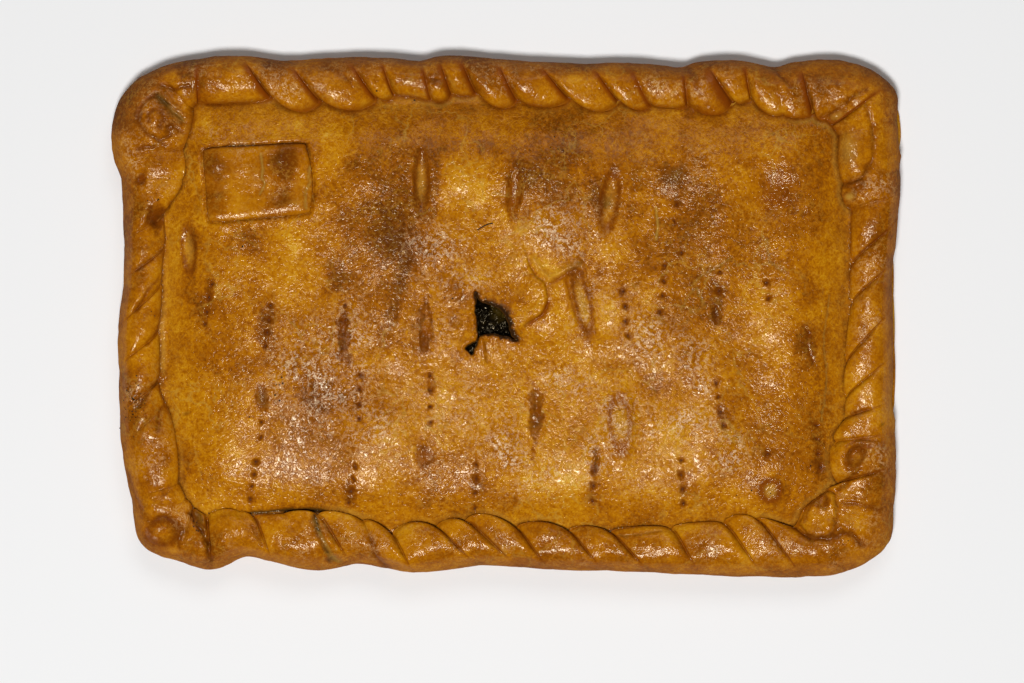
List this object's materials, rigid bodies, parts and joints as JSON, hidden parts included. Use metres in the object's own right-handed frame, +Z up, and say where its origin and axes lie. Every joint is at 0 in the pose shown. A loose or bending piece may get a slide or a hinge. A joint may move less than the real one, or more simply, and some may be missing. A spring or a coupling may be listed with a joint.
{
  "type": "cuttlefish empanada",
  "caption": "Large rectangular baked pie with a rope-twisted rim, a domed glazed lid torn by a steam vent over a black inky filling, and a small dough rectangle pressed on.",
  "frame": {"origin": "middle of the pie's bounding box, on the surface that its flat base rests on", "axes": "+X along the pie's length, +Y across it towards the long side that has the dough rectangle at its -X end, +Z up out of the lid"},
  "size_m": [0.3794, 0.2506, 0.0297],
  "materials": {
    "rim_crust": "golden-brown baked dough with an egg-wash glaze, satin with glossy crests",
    "lid_crust": "golden-brown baked dough with an egg-wash glaze, mottled and toasted in patches",
    "patch_crust": "golden-brown baked dough with an egg-wash glaze, browned at its edges",
    "ink_filling": "wet black cuttlefish and ink filling"
  },
  "bodies": {
    "root": {"base_crust": "rim_crust", "lid_crust": "lid_crust", "dough_patch": "patch_crust", "filling": "ink_filling"}
  },
  "joints": []
}
